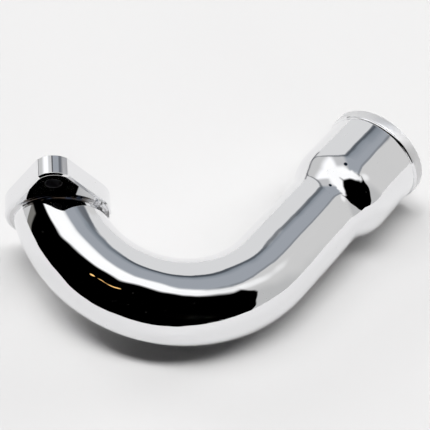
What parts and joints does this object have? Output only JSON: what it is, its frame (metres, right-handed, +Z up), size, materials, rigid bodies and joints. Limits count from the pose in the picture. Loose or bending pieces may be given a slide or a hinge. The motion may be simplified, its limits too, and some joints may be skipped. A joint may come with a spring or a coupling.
{
  "type": "turbo hard pipe",
  "caption": "Chrome bent tube with a bolted oval flange at one end and a wider beaded hose collar at the other, lying on its side.",
  "frame": {"origin": "on the ground, under the middle of the bounding box of the pipe as it lies at rest", "axes": "+Z up from the ground the pipe lies on; +X along the longest side, from the flange to the collar; the flange's gasket face looks along +Y and a little up"},
  "size_m": [0.2572, 0.1486, 0.1008],
  "materials": {
    "chrome": "mirror",
    "weld_chrome": "polished"
  },
  "bodies": {
    "root": {"mounting_flange": "chrome", "flange_weld": "weld_chrome", "bent_tube": "chrome", "hose_collar": "chrome"}
  },
  "joints": []
}
